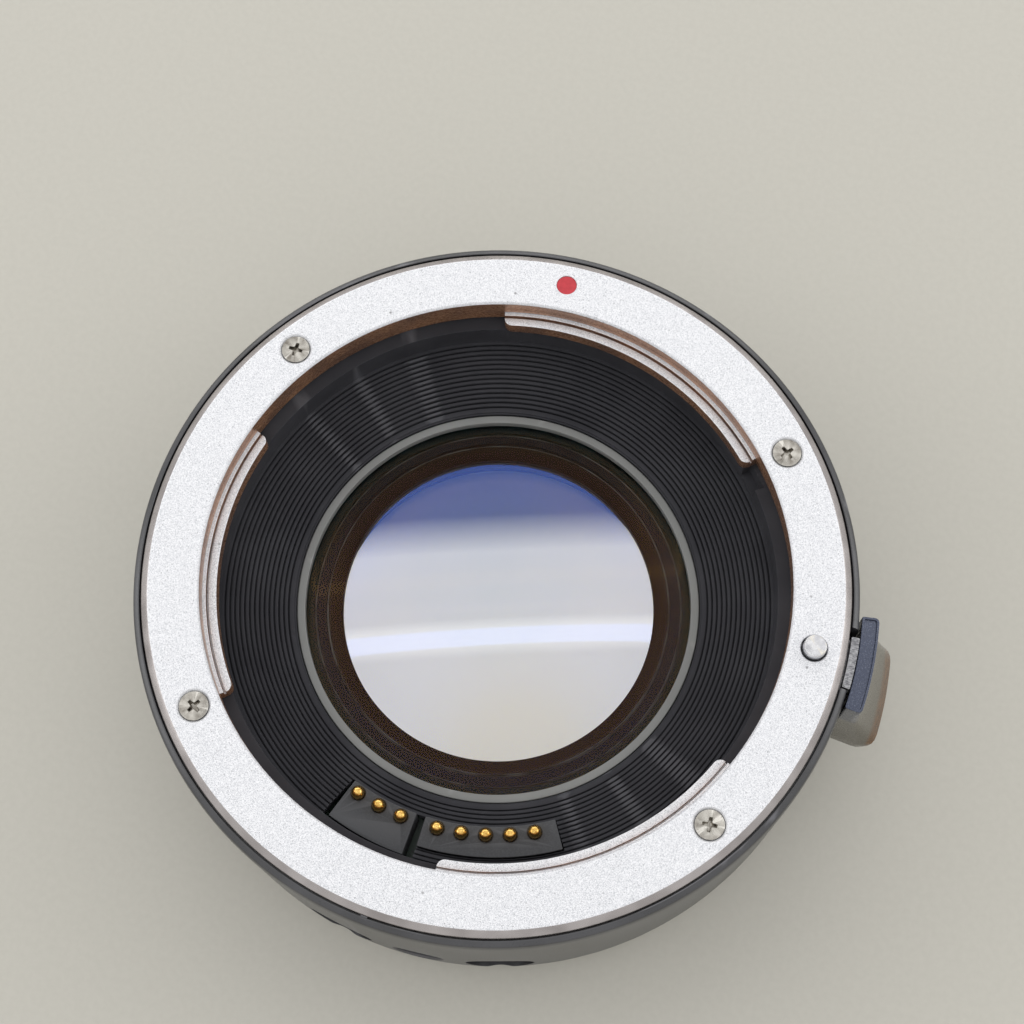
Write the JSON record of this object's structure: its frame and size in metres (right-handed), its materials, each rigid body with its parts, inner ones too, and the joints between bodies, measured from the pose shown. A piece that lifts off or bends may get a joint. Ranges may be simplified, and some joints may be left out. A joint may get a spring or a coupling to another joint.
{
  "type": "lens mount adapter",
  "caption": "Round lens mount adapter with reducing glass, chrome lens bayonet, black barrel, release lever and sprung contacts.",
  "frame": {"origin": "on the optical axis, in the rear end plane of the camera-side bayonet tube, on which the adapter stands", "axes": "+Z along the optical axis to the lens side, +Y to the red index dot, -Y to the foot's threaded hole, the release lever close to +X"},
  "size_m": [0.0711, 0.0664, 0.0254],
  "materials": {
    "satin_chrome": "fine satin chrome plate",
    "nickel_steel": "nickel plated",
    "polished_steel": "polished",
    "satin_steel": "satin",
    "spring_steel": "bright drawn",
    "red_paint": "red paint",
    "white_paint": "white paint",
    "black_anodised": "semi-gloss black anodised",
    "grey_anodised": "grey anodised",
    "gloss_black": "gloss black",
    "matte_black": "matte black",
    "block_plastic": "matte dark grey",
    "gold_contact": "gold plated",
    "green_board": "solder resist",
    "chip_plastic": "moulded",
    "amber_film": "polyimide film",
    "coated_glass": "coated optical glass"
  },
  "bodies": {
    "adapter": {"lens_mount_ring": "satin_chrome", "lens_mount_screws": "nickel_steel", "index_dot": "red_paint", "bayonet_springs": "spring_steel", "barrel": "black_anodised", "foot_thread_insert": "satin_steel", "camera_index_dot": "white_paint", "ribbed_baffle": "matte_black", "baffle_screws": "nickel_steel", "contact_block_large": "block_plastic", "contact_block_small": "block_plastic", "control_board": "green_board", "board_screws": "nickel_steel", "board_components": "chip_plastic", "flex_cable": "amber_film", "lens_cell": "black_anodised", "cell_screws": "nickel_steel", "front_retaining_ring": "grey_anodised", "front_element": "coated_glass", "middle_front_element": "coated_glass", "middle_rear_element": "coated_glass", "element_spacer": "black_anodised", "rear_element": "coated_glass", "rear_retaining_ring": "black_anodised", "rear_plate": "black_anodised", "rear_plate_screws": "nickel_steel", "camera_mount_ring": "satin_chrome", "camera_mount_screws": "nickel_steel", "rear_contact_block": "block_plastic", "rear_contact_pads": "gold_contact", "lock_pin_spring": "spring_steel", "contact_spring_1": "spring_steel", "contact_spring_2": "spring_steel", "contact_spring_3": "spring_steel", "contact_spring_4": "spring_steel", "contact_spring_5": "spring_steel", "contact_spring_6": "spring_steel", "contact_spring_7": "spring_steel", "contact_spring_8": "spring_steel"},
    "release_lever": {"lever_arm": "satin_steel", "release_knob": "gloss_black", "knob_screws": "nickel_steel", "lock_pin": "polished_steel"},
    "contact_1": {"contact_pin_1": "gold_contact"},
    "contact_2": {"contact_pin_2": "gold_contact"},
    "contact_3": {"contact_pin_3": "gold_contact"},
    "contact_4": {"contact_pin_4": "gold_contact"},
    "contact_5": {"contact_pin_5": "gold_contact"},
    "contact_6": {"contact_pin_6": "gold_contact"},
    "contact_7": {"contact_pin_7": "gold_contact"},
    "contact_8": {"contact_pin_8": "gold_contact"}
  },
  "joints": [
    {"name": "lever_slide", "type": "slide", "parent": "adapter", "child": "release_lever", "axis": [0, 0, -1], "range_m": [0, 0.0015], "stiffness_N_per_m": 1200, "springref_m": -0.0015, "deforming": ["lock_pin_spring"]},
    {"name": "contact_slide_1", "type": "slide", "parent": "adapter", "child": "contact_1", "axis": [0, 0, -1], "range_m": [0, 0.0006], "stiffness_N_per_m": 150, "springref_m": -0.0008, "deforming": ["contact_spring_1"]},
    {"name": "contact_slide_2", "type": "slide", "parent": "adapter", "child": "contact_2", "axis": [0, 0, -1], "range_m": [0, 0.0006], "stiffness_N_per_m": 150, "springref_m": -0.0008, "deforming": ["contact_spring_2"]},
    {"name": "contact_slide_3", "type": "slide", "parent": "adapter", "child": "contact_3", "axis": [0, 0, -1], "range_m": [0, 0.0006], "stiffness_N_per_m": 150, "springref_m": -0.0008, "deforming": ["contact_spring_3"]},
    {"name": "contact_slide_4", "type": "slide", "parent": "adapter", "child": "contact_4", "axis": [0, 0, -1], "range_m": [0, 0.0006], "stiffness_N_per_m": 150, "springref_m": -0.0008, "deforming": ["contact_spring_4"]},
    {"name": "contact_slide_5", "type": "slide", "parent": "adapter", "child": "contact_5", "axis": [0, 0, -1], "range_m": [0, 0.0006], "stiffness_N_per_m": 150, "springref_m": -0.0008, "deforming": ["contact_spring_5"]},
    {"name": "contact_slide_6", "type": "slide", "parent": "adapter", "child": "contact_6", "axis": [0, 0, -1], "range_m": [0, 0.0006], "stiffness_N_per_m": 150, "springref_m": -0.0008, "deforming": ["contact_spring_6"]},
    {"name": "contact_slide_7", "type": "slide", "parent": "adapter", "child": "contact_7", "axis": [0, 0, -1], "range_m": [0, 0.0006], "stiffness_N_per_m": 150, "springref_m": -0.0008, "deforming": ["contact_spring_7"]},
    {"name": "contact_slide_8", "type": "slide", "parent": "adapter", "child": "contact_8", "axis": [0, 0, -1], "range_m": [0, 0.0006], "stiffness_N_per_m": 150, "springref_m": -0.0008, "deforming": ["contact_spring_8"]}
  ]
}
